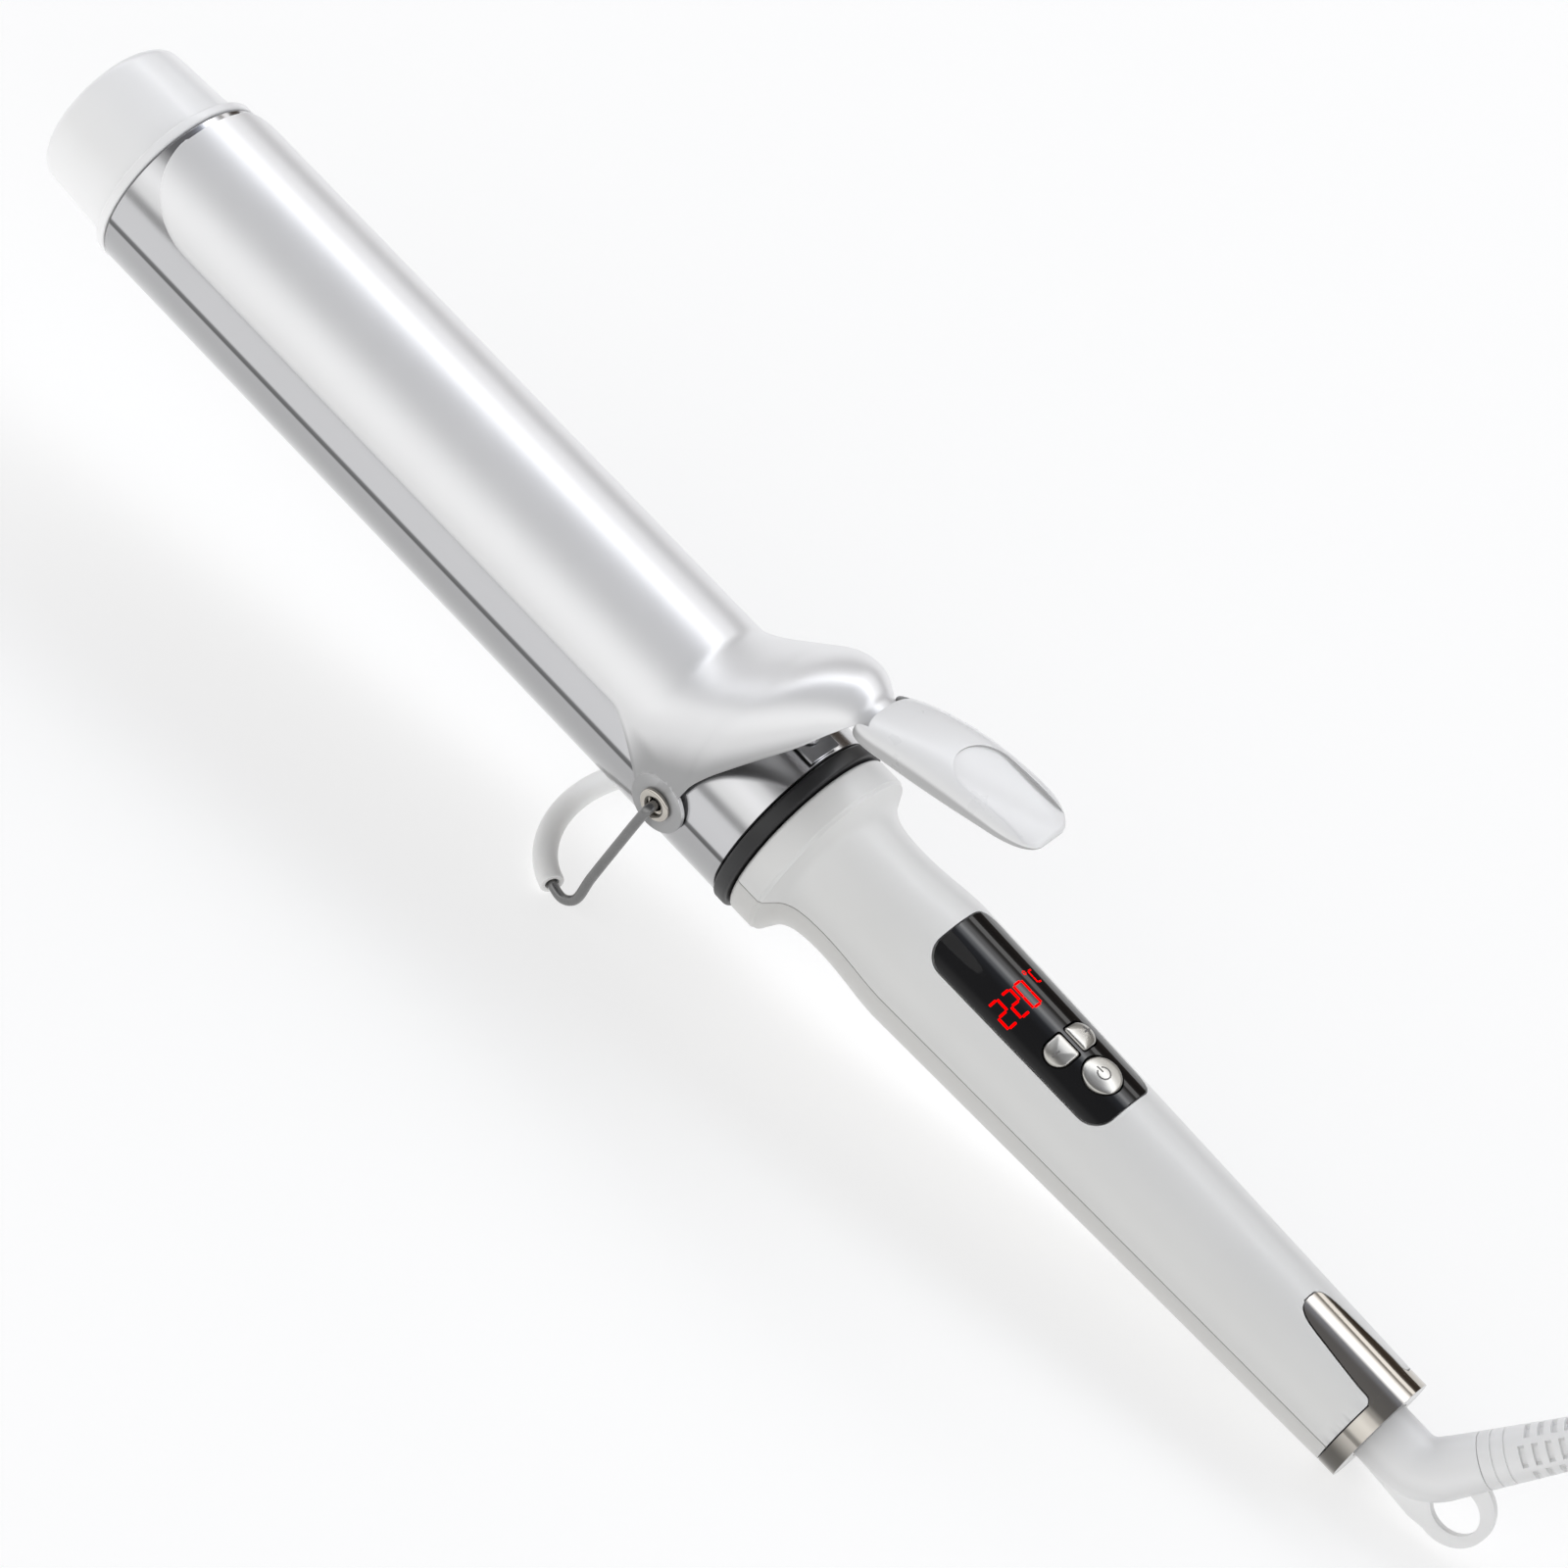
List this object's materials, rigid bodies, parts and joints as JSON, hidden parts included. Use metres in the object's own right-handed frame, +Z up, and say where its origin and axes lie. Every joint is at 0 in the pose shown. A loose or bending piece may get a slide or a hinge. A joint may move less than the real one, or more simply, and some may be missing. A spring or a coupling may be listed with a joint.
{
  "type": "hair curling iron",
  "caption": "Hair curling iron: round chromed barrel, sprung clamp with thumb lever, tapered handle with display and buttons, wire stand, swivelling cord exit, tied cord with plug.",
  "frame": {"origin": "centre of the iron's box on the surface it rests on, measured without the cord, its tie and its plug", "axes": "+X from the barrel's tip to the handle's tail along the iron, +Y across it away from the pictured side, +Z up from the resting surface"},
  "size_m": [0.5171, 0.071, 0.0815],
  "materials": {
    "white_plastic": "satin warm white",
    "cap_plastic": "satin white",
    "pearl_steel": "satin pearl silver-white",
    "barrel_chrome": "mirror polished",
    "nickel": "polished nickel",
    "spring_steel": "bright zinc",
    "dark_wire": "dark nickel wire",
    "black_resin": "matte black",
    "black_lens": "gloss black",
    "silver_button": "silvered gloss",
    "aluminium": "extruded",
    "ceramic": "unglazed ceramic",
    "mica": "amber resin",
    "green_board": "solder mask",
    "brass": "bright",
    "nylon": "natural",
    "white_silicone": "satin silicone",
    "white_cable": "satin vinyl"
  },
  "bodies": {
    "iron": {"tip_cap": "cap_plastic", "tip_insulator": "cap_plastic", "tip_screw": "spring_steel", "barrel_tube": "barrel_chrome", "ptc_heater": "ceramic", "heat_spreader_upper": "aluminium", "heat_spreader_lower": "aluminium", "temperature_sensor": "mica", "thermal_fuse": "brass", "barrel_holder": "nylon", "heat_ring": "black_resin", "clamp_spring": "spring_steel", "spring_rivet": "spring_steel", "pivot_eyelet_near": "nickel", "pivot_eyelet_far": "nickel", "handle_upper_shell": "white_plastic", "handle_lower_shell": "white_plastic", "shell_screw_front": "spring_steel", "shell_screw_rear": "spring_steel", "display_lens": "black_lens", "led_display": "black_resin", "minus_switch": "black_resin", "plus_switch": "black_resin", "power_switch": "black_resin", "control_board": "green_board", "triac": "black_resin", "film_capacitor": "mica", "board_screw_front": "spring_steel", "board_screw_rear": "spring_steel", "tail_trim": "nickel", "swivel_bush": "nylon", "brush_block": "black_resin", "heater_lead_live": "white_silicone", "heater_lead_neutral": "white_silicone", "cord_tube": "white_cable", "cord_hank": "white_cable", "cord_tail": "white_cable", "cord_tie": "white_silicone", "plug_body": "white_cable", "plug_pin_left": "nickel", "plug_pin_right": "nickel"},
    "clamp": {"clamp_plate": "pearl_steel", "thumb_paddle": "cap_plastic", "paddle_screw": "spring_steel"},
    "stand": {"stand_wire": "dark_wire", "stand_sleeve": "white_silicone"},
    "cord_swivel": {"cord_elbow": "white_plastic", "swivel_retainer": "nylon", "contact_ring_live": "brass", "contact_ring_neutral": "brass", "strain_relief": "white_plastic"},
    "minus_key": {"minus_button": "silver_button"},
    "plus_key": {"plus_button": "silver_button"},
    "power_key": {"power_button": "silver_button"}
  },
  "joints": [
    {"name": "clamp_hinge", "type": "hinge", "parent": "iron", "child": "clamp", "pos_m": [-0.01718, -0.00013, 0.03785], "axis": [0, 1, 0], "range_deg": [0, 25], "stiffness_Nm_per_rad": 0.35, "springref_deg": -34.38, "deforming": ["clamp_spring"]},
    {"name": "stand_hinge", "type": "hinge", "parent": "iron", "child": "stand", "pos_m": [-0.01718, -0.00013, 0.03785], "axis": [0, -1, 0], "range_deg": [0, 95]},
    {"name": "cord_swivel_turn", "type": "hinge", "parent": "iron", "child": "cord_swivel", "pos_m": [0.14972, -0.00013, 0.01126], "axis": [0.9875, 0, -0.1573], "continuous": true},
    {"name": "minus_press", "type": "slide", "parent": "iron", "child": "minus_key", "axis": [-0.152, 0.2588, -0.9539], "range_m": [0, 0.0005], "stiffness_N_per_m": 600, "springref_m": -0.0015},
    {"name": "plus_press", "type": "slide", "parent": "iron", "child": "plus_key", "axis": [-0.152, -0.2588, -0.9539], "range_m": [0, 0.0005], "stiffness_N_per_m": 600, "springref_m": -0.0015},
    {"name": "power_press", "type": "slide", "parent": "iron", "child": "power_key", "axis": [-0.1573, 0, -0.9875], "range_m": [0, 0.0005], "stiffness_N_per_m": 600, "springref_m": -0.0015}
  ]
}
